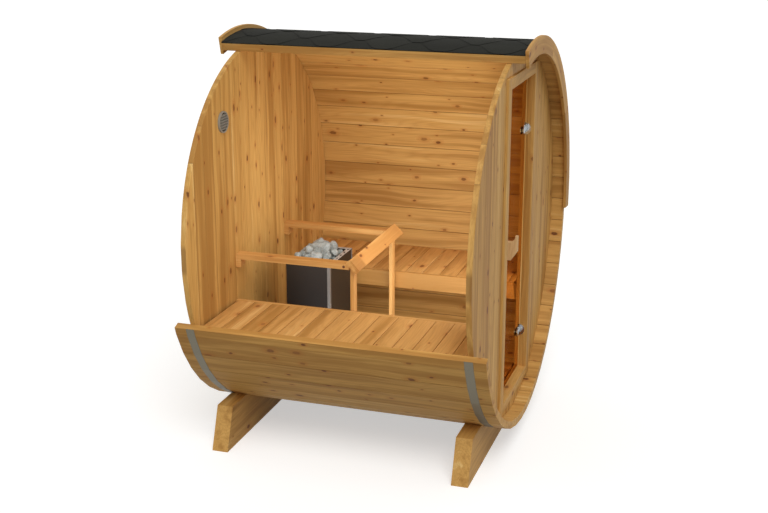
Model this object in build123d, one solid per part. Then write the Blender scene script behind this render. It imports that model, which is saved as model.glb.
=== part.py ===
from build123d import *
from math import cos, degrees, radians, sin, sqrt
import os

# Barrel sauna with a tinted glass door in one end wall. Part of the round wall on the near
# side is missing, as on the real one, so that the benches and the heater show.
# Sizes are in millimetres. The pieces are first laid out about the barrel's axis, which runs
# along X with the door at +X, and are then set down with the origin on the ground, under the
# middle of the box that holds the whole sauna.
# Angles round the barrel are in degrees from the top, positive towards the open near side, -Y.

# Barrel
BARREL_R = 1000.0
STAVE_LENGTH = 1590.0
STAVE_T = 40.0
STAVES_PER_TURN = 47
STAVE_GAP = 0.3
BEAD_HALF_W = 9.0
BEAD_RISE = 6.0
ROOF_CUT = 15.5
LOW_JOINT = 113.9
LOW_CUT = 111.2
ROOF_STAVES = 6
FAR_UPPER_STAVES = 5
FAR_SIDE_STAVES = 5
FAR_LOW_STAVES = 4
BOTTOM_FAR_STAVES = 5
BOTTOM_NEAR_STAVES = 5
NEAR_LOW_STAVES = 4

# End walls of upright tongue-and-groove boards
END_RECESS = 69.0
WALL_T = 28.0
WALL_FIT = 0.3
WALL_BOARD = 112.0
GROOVE_W = 7.0
GROOVE_DEPTH = 3.0
WALL_SIDES = 72

# Roof shingles, end arcs and bands
SHINGLE_END = -94.8
SHINGLE_T = 4.5
BAND_INSET = 84.5
BAND_W = 44.0
BAND_T = 1.0
BAND_FIT = 0.2
ARC_W = 92.0
ARC_RISE = 28.0
ARC_T = 17.5
ARC_NEAR_REAR = 15.0
ARC_NEAR_FRONT = 15.6
ARC_END = -94.8
ARC_BOARDS = 3
SEAT_GAP = 0.3

# Cradles
GROUND_GAP = 100.0
CRADLE_REAR_INSET = 131.0
CRADLE_FRONT_INSET = 164.0
CRADLE_T = 87.0
CRADLE_H = 224.0
CRADLE_HALF_BASE = 744.0
CRADLE_END_SLOPE = 84.0

# Door frame and doorway
DOORWAY_W = 560.0
JAMB_W = 70.0
HEAD_H = 58.0
SILL_H = 50.0
FRAME_CORNER_TOP = 30.0
FRAME_CORNER_LOW = 6.0
FRAME_PROUD = 12.5
FRAME_DEPTH = 67.5
FRAME_LINING = 24.0
FRAME_FIT = 0.3
STOP_W = 12.0
STOP_T = 10.0
STOP_GAP = 5.0

# Glass door, its hinges and handles
GLASS_T = 8.0
GLASS_RECESS = 44.5
GLASS_GAP = 6.0
GLASS_HINGE_GAP = 9.0
HINGE_OFFSET = 24.0
HINGE_UPPER_INSET = 295.0
HINGE_LOWER_INSET = 215.0
KNUCKLE_R = 8.0
KNUCKLE_H = 20.0
KNUCKLE_SIDES = 16
KNUCKLE_GAP = 0.5
PIN_R = 3.0
PIN_FIT = 0.3
CLAMP_R = 21.0
CLAMP_T = 6.0
CLAMP_REACH = 34.0
CLAMP_H = 42.0
CLAMP_EDGE = 4.0
CLAMP_SIDES = 24
KNUCKLE_CLEAR = 1.2
HINGE_WEB = 6.5
HINGE_PLATE_R = 33.0
HINGE_PLATE_T = 3.0
HINGE_PLATE_BACK = 3.0
HINGE_PLATE_CUT = 8.0
HINGE_ARM_W = 12.0
NOTCH_GAP = 2.0
WEB_FIT = 0.3
HANDLE_INSET = 122.0
HANDLE_ABOVE_SILL = 811.0
HANDLE_DEPTH = 70.0
HANDLE_H = 130.0
HANDLE_T = 25.0
HANDLE_LIP = 13.0
HANDLE_FOOT_IN = 33.0
HANDLE_FOOT_UP = 49.0
HANDLE_SCOOP_W = 26.0
HANDLE_SCOOP_H = 32.0
INSIDE_HANDLE_DEPTH = 42.0

# Benches, floor and the middle line of the furniture
MIDDLE_Y = -28.0
BENCH_H = 488.0
BENCH_GAP = 716.0
SLAT_T = 25.0
SLAT_PITCH = 99.5
SLAT_SPACE = 3.0
SLAT_START_GAP = 14.0
SLAT_BACK_GAP = 4.0
FASCIA_T = 25.0
FASCIA_H = 95.0
BEARER = 45.0
END_FIT = 0.3
FLOOR_STEP = 25.0
FLOOR_T = 20.0
FLOOR_SIDE_GAP = 6.0
FLOOR_BOARDS = 7
FLOOR_SPACE = 8.0
FLOOR_BEARER_W = 40.0
FLOOR_BEARERS = 3
FLOOR_END_GAP = 20.0

# Heater and its guard
HEATER_STANDOFF = 208.0
HEATER_D = 250.0
HEATER_W = 355.0
HEATER_H = 660.0
HEATER_FOOT = 30.0
HEATER_SHEET = 3.0
FOOT_R = 14.0
RIM_W = 23.0
RIM_T = 2.0
RIM_SLOT_L = 24.0
RIM_SLOT_W = 9.0
RIM_SLOTS_FRONT = 6
RIM_SLOTS_SIDE = 4
STONE_DEPTH = 90.0
STONE_RISE = 62.0
STONE_SLOPE = 36.0
TRIM_W = 14.0
TRIM_T = 2.0
GUARD_H = 738.0
GUARD_L = 636.0
GUARD_SIDE_GAP = 23.0
GUARD_RAIL_W = 62.0
GUARD_RAIL_T = 28.0
GUARD_BLOCK_H = 43.0
GUARD_BLOCK_T = 28.0
GUARD_BOARD_W = 75.0
GUARD_BOARD_T = 28.0
GUARD_BOARD_LAP = 11.5
GUARD_BOARD_AHEAD = 23.0
GUARD_BOARD_DROP = 8.0
GUARD_TILT = 46.0
POST_D = 19.0
POST_W = 48.0
POST_INSET = 9.0

# Round vent on the rear wall
VENT_Y = -495.0
VENT_Z = 600.0
VENT_R = 55.0
VENT_T = 10.0
VENT_RIM = 7.0
VENT_SIDES = 32
VENT_LOUVRES = 6
VENT_LOUVRE_T = 2.5
VENT_TILT = 40.0

# Places that follow from the sizes: the round wall
SIDE_GROUPS = {
    "staves_roof": ROOF_STAVES,
    "staves_far_upper": FAR_UPPER_STAVES,
    "staves_far_side": FAR_SIDE_STAVES,
}
LOW_GROUPS = {
    "staves_near_low": NEAR_LOW_STAVES,
    "staves_bottom_near": BOTTOM_NEAR_STAVES,
    "staves_bottom_far": BOTTOM_FAR_STAVES,
    "staves_far_low": FAR_LOW_STAVES,
}
SIDE_PITCH = 360.0 / STAVES_PER_TURN
SIDE_END = ROOF_CUT - sum(SIDE_GROUPS.values()) * SIDE_PITCH
LOW_PITCH = (360.0 + SIDE_END - LOW_JOINT) / sum(LOW_GROUPS.values())
SHELL_FLAT_R = BARREL_R * cos(radians(max(SIDE_PITCH, LOW_PITCH) / 2)) - STAVE_T
WALL_R = SHELL_FLAT_R - WALL_FIT
SHINGLE_R = BARREL_R + BAND_FIT + BAND_T + SEAT_GAP
ARC_OUTER_R = BARREL_R + ARC_RISE
ARC_INNER_R = ARC_OUTER_R - ARC_W
AXIS_HEIGHT = BARREL_R + GROUND_GAP
SHIFT_Y = (WALL_R - ARC_OUTER_R) / 2

# Along the barrel
STAVE_END_X = STAVE_LENGTH / 2
WALL_OUTER_X = STAVE_END_X - END_RECESS
WALL_INNER_X = WALL_OUTER_X - WALL_T
BAND_X = STAVE_END_X - BAND_INSET
FRAME_FRONT_X = WALL_OUTER_X + FRAME_PROUD
FRAME_BACK_X = FRAME_FRONT_X - FRAME_DEPTH
GLASS_FRONT_X = FRAME_FRONT_X - GLASS_RECESS
GLASS_BACK_X = GLASS_FRONT_X - GLASS_T
GLASS_X = GLASS_FRONT_X - GLASS_T / 2
HEATER_FRONT_X = -WALL_INNER_X + HEATER_STANDOFF + HEATER_D
POST_BACK_X = -WALL_INNER_X + GUARD_L
GUARD_BOARD_X = POST_BACK_X + GUARD_BOARD_AHEAD

# Across and up
FRAME_HALF_W = DOORWAY_W / 2 + JAMB_W
FRAME_REACH = sqrt(WALL_R ** 2 - FRAME_HALF_W ** 2)
FRAME_TOP = FRAME_REACH - FRAME_CORNER_TOP
FRAME_BOTTOM = FRAME_CORNER_LOW - FRAME_REACH
DOORWAY_TOP = FRAME_TOP - HEAD_H
DOORWAY_BOTTOM = FRAME_BOTTOM + SILL_H
LINING_TOP = DOORWAY_TOP + FRAME_LINING
LINING_HALF_W = DOORWAY_W / 2 + FRAME_LINING
HINGE_Y = DOORWAY_W / 2 - HINGE_OFFSET
WEB_EDGE = HINGE_Y - KNUCKLE_R - KNUCKLE_CLEAR
HINGE_HEIGHTS = (DOORWAY_BOTTOM + HINGE_LOWER_INSET, DOORWAY_TOP - HINGE_UPPER_INSET)
HANDLE_Y = HANDLE_INSET - DOORWAY_W / 2
HANDLE_Z = DOORWAY_BOTTOM + HANDLE_ABOVE_SILL
FLOOR_TOP = DOORWAY_BOTTOM - FLOOR_STEP
FLOOR_HALF = sqrt(SHELL_FLAT_R ** 2 - (FLOOR_TOP - FLOOR_T) ** 2) - FLOOR_SIDE_GAP
BENCH_TOP = FLOOR_TOP + BENCH_H
HEATER_TOP = FLOOR_TOP + HEATER_H
HEATER_BASE = FLOOR_TOP + HEATER_FOOT
GUARD_RAIL_TOP = FLOOR_TOP + GUARD_H
GUARD_RAIL_OFFSET = BENCH_GAP / 2 - GUARD_SIDE_GAP
GUARD_BOARD_Z = GUARD_RAIL_TOP - GUARD_BOARD_DROP
GUARD_BOARD_L = 2 * (GUARD_RAIL_OFFSET + GUARD_RAIL_W / 2 + GUARD_BOARD_LAP)
POST_OFFSET = GUARD_RAIL_OFFSET - POST_INSET


def block(x, y, z):
    """A box between two x, two y and two z values."""
    low = (min(x), min(y), min(z))
    high = (max(x), max(y), max(z))
    centre = [(a + b) / 2 for a, b in zip(low, high)]
    return Pos(*centre) * Box(high[0] - low[0], high[1] - low[1], high[2] - low[2])


def prism(radius, sides, height):
    """An upright bar with many sides, centred on the origin."""
    return extrude(RegularPolygon(radius, sides), height / 2, both=True)


def tube(radius_in, radius_out, x_low, x_high):
    """A ring about the barrel's axis, between two x values."""
    ring = Circle(radius_out) - Circle(radius_in)
    return Pos(x_low, 0, 0) * extrude(Plane.YZ * ring, x_high - x_low)


def sector(angle_high, angle_low, x_low, x_high):
    """A wedge about the barrel's axis, from angle_high down to angle_low, under a full turn."""
    radius = 2 * BARREL_R
    steps = 4
    rim = [(angle_low + (angle_high - angle_low) * i / steps) for i in range(steps + 1)]
    points = [(0.0, 0.0)] + [(-radius * sin(radians(a)), radius * cos(radians(a))) for a in rim]
    face = make_face(Polyline(points, close=True))
    return Pos(x_low, 0, 0) * extrude(Plane.YZ * face, x_high - x_low)


def arc_piece(radius_in, radius_out, angle_high, angle_low, x_low, x_high):
    """A curved board or strap round the barrel between two angles."""
    return tube(radius_in, radius_out, x_low, x_high) & sector(angle_high, angle_low, x_low, x_high)


# Staves
def stave_side(side, half_angle, kind):
    """The stave's side line from its outer to its inner corner, side +1 towards +Y.

    kind is bead, cove or plain. A bead stands out in an arc, and the cove beside it takes it."""
    along = Vector(side * sin(half_angle), cos(half_angle))
    out = Vector(side * cos(half_angle), -sin(half_angle))
    outer_r = BARREL_R
    inner_r = BARREL_R - STAVE_T / cos(half_angle)
    middle_r = (outer_r + inner_r) / 2
    rise = BEAD_RISE if kind == "bead" else -BEAD_RISE

    def at(radius):
        return along * radius - out * (STAVE_GAP / 2)

    if kind == "plain":
        return [Line(at(outer_r), at(inner_r))]
    upper = at(middle_r + BEAD_HALF_W)
    lower = at(middle_r - BEAD_HALF_W)
    crown = at(middle_r) + out * rise
    return [Line(at(outer_r), upper), ThreePointArc(upper, crown, lower), Line(lower, at(inner_r))]


def stave(pitch, near_kind, far_kind):
    """One stave at the top of the barrel, flat outside and inside, with radial sides."""
    half_angle = radians(pitch / 2)
    near = stave_side(-1, half_angle, near_kind)
    far = stave_side(1, half_angle, far_kind)
    outer = Line(near[0] @ 0, far[0] @ 0)
    inner = Line(near[-1] @ 1, far[-1] @ 1)
    face = make_face(Wire(near + far + [outer, inner]))
    return Pos(-STAVE_END_X, 0, 0) * extrude(Plane.YZ * face, STAVE_LENGTH)


def stave_groups():
    """Node name to its staves, going down the far side from the roof and up the near side."""
    plain = stave(SIDE_PITCH, "plain", "cove")
    side = stave(SIDE_PITCH, "bead", "cove")
    low = stave(LOW_PITCH, "bead", "cove")
    groups = {}
    index = 0
    for node, count in SIDE_GROUPS.items():
        groups[node] = []
        for _ in range(count):
            shape = plain if index == 0 else side
            groups[node].append(Rot(ROOF_CUT - (index + 0.5) * SIDE_PITCH, 0, 0) * shape)
            index += 1
    ripped = Rot(LOW_JOINT - LOW_PITCH / 2, 0, 0) * low
    below_cut = block((-STAVE_LENGTH, STAVE_LENGTH), (-BARREL_R, 0), (0, 2 * BARREL_R))
    ripped = ripped & (Rot(LOW_CUT, 0, 0) * below_cut)
    index = 0
    for node, count in LOW_GROUPS.items():
        groups[node] = [ripped] if index == 0 else []
        for _ in range(count):
            groups[node].append(Rot(LOW_JOINT + (index + 0.5) * LOW_PITCH, 0, 0) * low)
            index += 1
    return groups


# End walls
def wall_section(inner_x, outer_x):
    """Plan of an end wall: a slab with a V groove at each board joint, on both faces."""
    joints = []
    y = WALL_BOARD / 2
    while y < WALL_R:
        joints += [-y, y]
        y += WALL_BOARD
    joints.sort()
    half = GROOVE_W / 2
    depth = GROOVE_DEPTH if outer_x > inner_x else -GROOVE_DEPTH
    inner = [(inner_x, -WALL_R)]
    outer = [(outer_x, -WALL_R)]
    for y in joints:
        inner += [(inner_x, y - half), (inner_x + depth, y), (inner_x, y + half)]
        outer += [(outer_x, y - half), (outer_x - depth, y), (outer_x, y + half)]
    inner.append((inner_x, WALL_R))
    outer.append((outer_x, WALL_R))
    return make_face(Polyline(inner + outer[::-1], close=True))


def end_wall(inner_x, outer_x):
    slab = Pos(0, 0, -WALL_R) * extrude(wall_section(inner_x, outer_x), 2 * WALL_R)
    disc = Rot(0, 90, 0) * prism(WALL_R, WALL_SIDES, 4 * WALL_INNER_X)
    return slab & disc


def front_wall_pieces():
    """The door wall in four pieces: each side of the doorway, over it and under it."""
    wall = end_wall(WALL_INNER_X, WALL_OUTER_X)
    cut_y = FRAME_HALF_W + FRAME_FIT
    middle = (-cut_y, cut_y)
    x = (0, 2 * WALL_OUTER_X)
    reach = (-2 * WALL_R, 2 * WALL_R)
    return {
        "front_wall_near": wall & block(x, (-2 * WALL_R, -cut_y), reach),
        "front_wall_far": wall & block(x, (cut_y, 2 * WALL_R), reach),
        "front_wall_over_door": wall & block(x, middle, (FRAME_TOP + FRAME_FIT, 2 * WALL_R)),
        "front_wall_under_door": wall & block(x, middle, (-2 * WALL_R, FRAME_BOTTOM - FRAME_FIT)),
    }


# Shingles, end arcs, bands and cradles
def roof_shingles():
    return arc_piece(SHINGLE_R, SHINGLE_R + SHINGLE_T, ROOF_CUT, SHINGLE_END, -STAVE_END_X, STAVE_END_X)


def end_arc(near_angle, x_low, x_high):
    """The arc board over the stave ends, in lengths that meet on radial joints."""
    gap = degrees(STAVE_GAP / ARC_OUTER_R)
    step = (near_angle - ARC_END) / ARC_BOARDS
    pieces = []
    for i in range(ARC_BOARDS):
        high = near_angle - i * step - gap / 2
        low = near_angle - (i + 1) * step + gap / 2
        pieces.append(arc_piece(ARC_INNER_R, ARC_OUTER_R, high, low, x_low, x_high))
    return pieces


def band_loop():
    """Angles of the stave joints that the bands bend over, from the low cut round to the roof cut."""
    low = [LOW_JOINT + i * LOW_PITCH for i in range(-1, sum(LOW_GROUPS.values()))]
    side = [360.0 + ROOF_CUT - i * SIDE_PITCH for i in range(sum(SIDE_GROUPS.values()), -1, -1)]
    return low + side


def band(x):
    """A steel band that lies on the flat staves, from the low cut round under the barrel to the roof cut."""
    outline = []
    for radius in (BARREL_R + BAND_FIT, BARREL_R + BAND_FIT + BAND_T):
        edge = [(-radius * sin(radians(a)), radius * cos(radians(a))) for a in band_loop()]
        outline += edge if not outline else edge[::-1]
    face = make_face(Polyline(outline, close=True))
    strap = Pos(x - BAND_W / 2, 0, 0) * extrude(Plane.YZ * face, BAND_W)
    return strap - sector(LOW_CUT, ROOF_CUT + SEAT_GAP, x - BAND_W, x + BAND_W)


def cradle(x):
    outline = [
        (-CRADLE_HALF_BASE, -AXIS_HEIGHT),
        (CRADLE_HALF_BASE, -AXIS_HEIGHT),
        (CRADLE_HALF_BASE - CRADLE_END_SLOPE, CRADLE_H - AXIS_HEIGHT),
        (CRADLE_END_SLOPE - CRADLE_HALF_BASE, CRADLE_H - AXIS_HEIGHT),
    ]
    face = make_face(Polyline(outline, close=True)) - Circle(BARREL_R + SEAT_GAP)
    plank = Pos(x - CRADLE_T / 2, 0, 0) * extrude(Plane.YZ * face, CRADLE_T)
    relief_r = BARREL_R + BAND_FIT + BAND_T + SEAT_GAP
    half = BAND_W / 2 + SEAT_GAP
    for band_x in (-BAND_X, BAND_X):
        plank = plank - tube(BARREL_R, relief_r, band_x - half, band_x + half)
    return plank


# Door frame
def jamb(side, with_stop):
    """One upright of the door frame, with a thin lining behind the wall.

    The latch side also carries the stop behind the glass."""
    inner_y = side * DOORWAY_W / 2
    lining_y = inner_y + side * FRAME_LINING
    post = block((WALL_INNER_X, FRAME_FRONT_X), (inner_y, side * FRAME_HALF_W), (FRAME_BOTTOM, FRAME_TOP))
    post = post + block((FRAME_BACK_X, WALL_INNER_X), (inner_y, lining_y), (FRAME_BOTTOM, LINING_TOP))
    if not with_stop:
        return post
    stop_x = GLASS_BACK_X - STOP_GAP
    stop = block((stop_x - STOP_T, stop_x), (inner_y - side * STOP_W, inner_y), (DOORWAY_BOTTOM, DOORWAY_TOP))
    return post + stop


def frame_bar(z, lining_z):
    """The head or the sill, between the jambs: the bar itself and its lining behind the wall."""
    half = DOORWAY_W / 2 - END_FIT
    bar = block((WALL_INNER_X, FRAME_FRONT_X), (-half, half), z)
    return bar + block((FRAME_BACK_X, WALL_INNER_X), (-half, half), lining_z)


# Glass door, hinges and handles
def door_glass():
    y = (-DOORWAY_W / 2 + GLASS_GAP, DOORWAY_W / 2 - GLASS_HINGE_GAP)
    z = (DOORWAY_BOTTOM + GLASS_GAP, DOORWAY_TOP - GLASS_GAP)
    pane = block((GLASS_BACK_X, GLASS_FRONT_X), y, z)
    notch_y = (WEB_EDGE - HINGE_WEB - WEB_FIT, DOORWAY_W / 2)
    half = CLAMP_H / 2 + NOTCH_GAP
    for z in HINGE_HEIGHTS:
        pane = pane - block((0, 2 * GLASS_X), notch_y, (z - half, z + half))
    return pane


def upright_rod(radius, height, z):
    return Pos(GLASS_X, HINGE_Y, z) * Cylinder(radius, height)


def knuckle(height, z):
    return Pos(GLASS_X, HINGE_Y, z) * prism(KNUCKLE_R, KNUCKLE_SIDES, height)


def hinge_clamp(z):
    """The half of a hinge that grips the glass: two round plates, a web and two knuckles."""
    plate = Rot(0, 90, 0) * prism(CLAMP_R, CLAMP_SIDES, CLAMP_T)
    y = HINGE_Y - CLAMP_REACH
    front_x = GLASS_FRONT_X + CLAMP_T
    back_x = GLASS_BACK_X - CLAMP_T
    tall = (z - CLAMP_H / 2, z + CLAMP_H / 2)
    strap = (tall[0] + CLAMP_EDGE, tall[1] - CLAMP_EDGE)
    clamp = Pos(GLASS_FRONT_X + CLAMP_T / 2, y, z) * plate
    clamp = clamp + Pos(GLASS_BACK_X - CLAMP_T / 2, y, z) * plate
    clamp = clamp + block((GLASS_FRONT_X, front_x), (y, WEB_EDGE), strap)
    clamp = clamp + block((back_x, GLASS_BACK_X), (y, WEB_EDGE), strap)
    clamp = clamp + block((back_x, front_x), (WEB_EDGE - HINGE_WEB, WEB_EDGE), strap)
    neck = block((GLASS_X - KNUCKLE_R, GLASS_X + KNUCKLE_R), (WEB_EDGE - HINGE_WEB, HINGE_Y), strap)
    half_window = KNUCKLE_H / 2 + KNUCKLE_GAP
    window = block((back_x, front_x), (WEB_EDGE, HINGE_Y + 2 * KNUCKLE_R), (z - half_window, z + half_window))
    return clamp + neck + knuckle(CLAMP_H, z) - window - upright_rod(PIN_R + PIN_FIT, 2 * CLAMP_H, z)


def hinge_plate(z):
    """The half of a hinge on the far jamb: a D-shaped plate, an arm, a knuckle and the pin."""
    face_y = DOORWAY_W / 2 - END_FIT
    plate = Rot(90, 0, 0) * prism(HINGE_PLATE_R, CLAMP_SIDES, HINGE_PLATE_T)
    plate = Pos(GLASS_FRONT_X - HINGE_PLATE_BACK, face_y - HINGE_PLATE_T / 2, z) * plate
    behind_x = GLASS_FRONT_X - HINGE_PLATE_CUT
    reach = (z - 2 * HINGE_PLATE_R, z + 2 * HINGE_PLATE_R)
    plate = plate - block((0, behind_x), (0, DOORWAY_W), reach)
    tall = (z - KNUCKLE_H / 2, z + KNUCKLE_H / 2)
    arm = block((GLASS_X - HINGE_ARM_W / 2, GLASS_X + HINGE_ARM_W / 2), (HINGE_Y + PIN_R, face_y - 1), tall)
    return plate + arm + knuckle(KNUCKLE_H, z) + upright_rod(PIN_R, CLAMP_H, z)


def handle(face_x, out, depth):
    """A wooden pull: a block that stands off the glass, with a finger scoop in its top."""
    top = HANDLE_H / 2
    neck = depth - HANDLE_LIP
    shelf = top - HANDLE_SCOOP_H
    shelf_end = neck - HANDLE_SCOOP_W
    front = Polyline(
        (0, -top), (depth - HANDLE_FOOT_IN, -top), (depth, -top + HANDLE_FOOT_UP), (depth, top), (neck, top),
    )
    hollow = (shelf_end + HANDLE_SCOOP_W * cos(radians(45)), top - HANDLE_SCOOP_H * sin(radians(45)))
    scoop = ThreePointArc((neck, top), hollow, (shelf_end, shelf))
    back = Polyline((shelf_end, shelf), (0, shelf), (0, -top))
    face = make_face(front.edges() + scoop.edges() + back.edges())
    shape = extrude(Plane.XZ * face, HANDLE_T / 2, both=True)
    if out < 0:
        shape = mirror(shape, Plane.YZ)
    return Pos(face_x, HANDLE_Y, HANDLE_Z) * shape


# Benches and floor
def bench(side):
    """Slats across, the fascia that covers their ends, and a bearer and a ledger under them."""
    edge = MIDDLE_Y + side * BENCH_GAP / 2
    behind = edge + side * FASCIA_T
    under = BENCH_TOP - SLAT_T
    back = side * (sqrt(SHELL_FLAT_R ** 2 - under ** 2) - SLAT_BACK_GAP)
    ends = (-WALL_INNER_X + END_FIT, WALL_INNER_X - END_FIT)
    slats = []
    x = -WALL_INNER_X + SLAT_START_GAP
    while x < ends[1] - SLAT_SPACE:
        right = min(x + SLAT_PITCH - SLAT_SPACE, ends[1])
        slats.append(block((x, right), (behind + side * END_FIT, back), (under, BENCH_TOP)))
        x += SLAT_PITCH
    meets_frame = abs(edge) < LINING_HALF_W
    long_x = (ends[0], (FRAME_BACK_X if meets_frame else WALL_INNER_X) - END_FIT)
    fascia = block(long_x, (edge, behind), (BENCH_TOP - FASCIA_H, BENCH_TOP))
    bearer = block(long_x, (behind, behind + side * BEARER), (under - BEARER, under))
    ledger_out = side * (sqrt(SHELL_FLAT_R ** 2 - (under - BEARER) ** 2) - END_FIT)
    ledger = block(long_x, (ledger_out, ledger_out - side * BEARER), (under - BEARER, under))
    return slats, fascia, [bearer, ledger]


def floor_boards():
    """Duckboards along the barrel, level with the foot of the doorway."""
    width = (2 * FLOOR_HALF - (FLOOR_BOARDS - 1) * FLOOR_SPACE) / FLOOR_BOARDS
    x = (-WALL_INNER_X + FLOOR_END_GAP, FRAME_BACK_X - FLOOR_END_GAP)
    boards = []
    for i in range(FLOOR_BOARDS):
        y = -FLOOR_HALF + i * (width + FLOOR_SPACE)
        boards.append(block(x, (y, y + width), (FLOOR_TOP - FLOOR_T, FLOOR_TOP)))
    return boards


def floor_bearers():
    """Cross bearers with a round underside that sits in the barrel."""
    low = FLOOR_TOP - FLOOR_T
    disc = Rot(0, 90, 0) * Cylinder(SHELL_FLAT_R - SEAT_GAP, FLOOR_BEARER_W)
    piece = disc & block((-BARREL_R, BARREL_R), (-FLOOR_HALF, FLOOR_HALF), (-BARREL_R, low))
    reach = WALL_INNER_X - FLOOR_END_GAP - FLOOR_BEARER_W
    step = 2 * reach / (FLOOR_BEARERS - 1)
    return [Pos(-reach + i * step, 0, 0) * piece for i in range(FLOOR_BEARERS)]


# Heater and guard
def heater_box(inset, z):
    x = (HEATER_FRONT_X - HEATER_D + inset, HEATER_FRONT_X - inset)
    y = (MIDDLE_Y - HEATER_W / 2 + inset, MIDDLE_Y + HEATER_W / 2 - inset)
    return block(x, y, z)


def heater_casing():
    """Sheet-metal casing, open under the stones, on four round feet."""
    top = HEATER_TOP - RIM_T
    shell = heater_box(0, (HEATER_BASE, top))
    shell = shell - heater_box(HEATER_SHEET, (HEATER_BASE + HEATER_SHEET, top - STONE_DEPTH - HEATER_SHEET))
    shell = shell - heater_box(HEATER_SHEET, (top - STONE_DEPTH, top + 1))
    for sx in (-1, 1):
        for sy in (-1, 1):
            x = HEATER_FRONT_X - HEATER_D / 2 + sx * (HEATER_D / 2 - 2 * FOOT_R)
            y = MIDDLE_Y + sy * (HEATER_W / 2 - 2 * FOOT_R)
            foot = Pos(x, y, FLOOR_TOP + HEATER_FOOT / 2) * Cylinder(FOOT_R, HEATER_FOOT)
            shell = shell + foot
    return shell


def heater_rim():
    """The slotted steel frame round the stones."""
    z = (HEATER_TOP - 9, HEATER_TOP + 9)
    half_l = RIM_SLOT_L / 2
    half_w = RIM_SLOT_W / 2
    rim = heater_box(0, (HEATER_TOP - RIM_T, HEATER_TOP)) - heater_box(RIM_W, z)
    step_y = HEATER_W / RIM_SLOTS_FRONT
    step_x = (HEATER_D - 2 * RIM_W) / RIM_SLOTS_SIDE
    for i in range(RIM_SLOTS_FRONT):
        y = MIDDLE_Y - HEATER_W / 2 + (i + 0.5) * step_y
        for x in (HEATER_FRONT_X - RIM_W / 2, HEATER_FRONT_X - HEATER_D + RIM_W / 2):
            slot = block((x - half_w, x + half_w), (y - half_l, y + half_l), z)
            rim = rim - slot
    for i in range(RIM_SLOTS_SIDE):
        x = HEATER_FRONT_X - HEATER_D + RIM_W + (i + 0.5) * step_x
        for side in (-1, 1):
            y = MIDDLE_Y + side * (HEATER_W / 2 - RIM_W / 2)
            slot = block((x - half_l, x + half_l), (y - half_w, y + half_w), z)
            rim = rim - slot
    return rim


def heater_stones():
    """The heap of stones as one mound that fills the tray and rises over its rim."""
    inset = HEATER_SHEET + END_FIT
    bed_z = HEATER_TOP - RIM_T - STONE_DEPTH + END_FIT
    bed = heater_box(inset, (bed_z, HEATER_TOP - RIM_T - END_FIT))
    within_rim = Rectangle(HEATER_D - 2 * RIM_W - 2, HEATER_W - 2 * RIM_W - 2)
    mound = extrude(within_rim, STONE_RISE, taper=STONE_SLOPE)
    return bed + Pos(HEATER_FRONT_X - HEATER_D / 2, MIDDLE_Y, HEATER_TOP - RIM_T - END_FIT - 1) * mound


def corner_trims():
    """Light strips up the two front corners of the casing."""
    z = (HEATER_BASE, HEATER_TOP - RIM_T)
    trims = []
    for side in (-1, 1):
        y = MIDDLE_Y + side * HEATER_W / 2
        x = HEATER_FRONT_X
        angle = block((x - TRIM_W, x + TRIM_T), (y - side * TRIM_W, y + side * TRIM_T), z)
        gap = SEAT_GAP
        angle = angle - block((x - 2 * TRIM_W, x + gap), (y - side * 2 * TRIM_W, y + side * gap), z)
        trims.append(angle)
    return trims


def guard_board(clearance=0.0):
    board = Box(GUARD_BOARD_W + 2 * clearance, GUARD_BOARD_L, GUARD_BOARD_T + 2 * clearance)
    return Pos(GUARD_BOARD_X, MIDDLE_Y, GUARD_BOARD_Z) * Rot(0, GUARD_TILT, 0) * board


def guard_rail(side):
    y = MIDDLE_Y + side * GUARD_RAIL_OFFSET
    rail = block(
        (-WALL_INNER_X + END_FIT, POST_BACK_X - END_FIT),
        (y - GUARD_RAIL_W / 2, y + GUARD_RAIL_W / 2),
        (GUARD_RAIL_TOP - GUARD_RAIL_T, GUARD_RAIL_TOP),
    )
    return rail - guard_board(END_FIT)


def guard_block(side):
    y = MIDDLE_Y + side * GUARD_RAIL_OFFSET
    x = -WALL_INNER_X + END_FIT
    top = GUARD_RAIL_TOP - GUARD_RAIL_T
    half = GUARD_RAIL_W / 2
    return block((x, x + GUARD_BLOCK_T), (y - half, y + half), (top - GUARD_BLOCK_H, top))


def guard_post(side):
    """A batten from the floor up to the underside of the tilted board."""
    y = MIDDLE_Y + side * POST_OFFSET
    x = (POST_BACK_X, POST_BACK_X + POST_D)
    post = block(x, (y - POST_W / 2, y + POST_W / 2), (FLOOR_TOP, GUARD_BOARD_Z))
    return post - guard_board(END_FIT)


def vent():
    """A round grille with slanted louvres on the inner face of the rear wall."""
    x = -WALL_INNER_X + END_FIT
    ring = prism(VENT_R, VENT_SIDES, VENT_T) - prism(VENT_R - VENT_RIM, VENT_SIDES, 2 * VENT_T)
    step = 2 * (VENT_R - VENT_RIM) / (VENT_LOUVRES + 1)
    bore = prism(VENT_R - VENT_RIM / 2, VENT_SIDES, VENT_T)
    for i in range(VENT_LOUVRES):
        offset = -VENT_R + VENT_RIM + (i + 1) * step
        slat = Pos(-offset, 0, 0) * Rot(0, VENT_TILT, 0) * Box(VENT_LOUVRE_T, 2 * VENT_R, VENT_T * 1.2)
        ring = ring + (slat & bore)
    return Pos(x + VENT_T / 2, VENT_Y, VENT_Z) * Rot(0, 90, 0) * ring


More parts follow.
